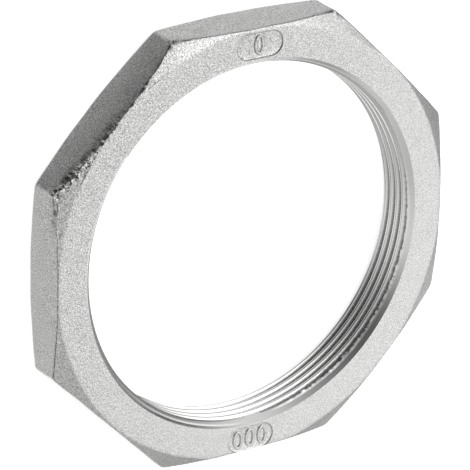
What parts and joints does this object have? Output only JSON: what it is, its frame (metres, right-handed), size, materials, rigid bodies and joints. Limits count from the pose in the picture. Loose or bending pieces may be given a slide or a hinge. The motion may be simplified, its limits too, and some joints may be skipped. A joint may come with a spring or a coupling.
{
  "type": "octagonal pipe locknut",
  "caption": "Octagonal pipe locknut cast in stainless steel, with wrench flats, chamfered corners, a pipe-thread bore countersunk at both ends and sunken mark pads on its top face.",
  "frame": {"origin": "Middle of the back face, on the axis of the bore, where the nut rests when it lies flat.", "axes": "+Z runs along the bore from the back face to the marked face. +Y points at one mark pad and -Y at the other. Wrench flats face +X, +Y, -X and -Y and the four directions between them."},
  "size_m": [0.104, 0.104, 0.012],
  "materials": {
    "steel": "cast satin"
  },
  "bodies": {
    "root": {"locknut": "steel"}
  },
  "joints": []
}
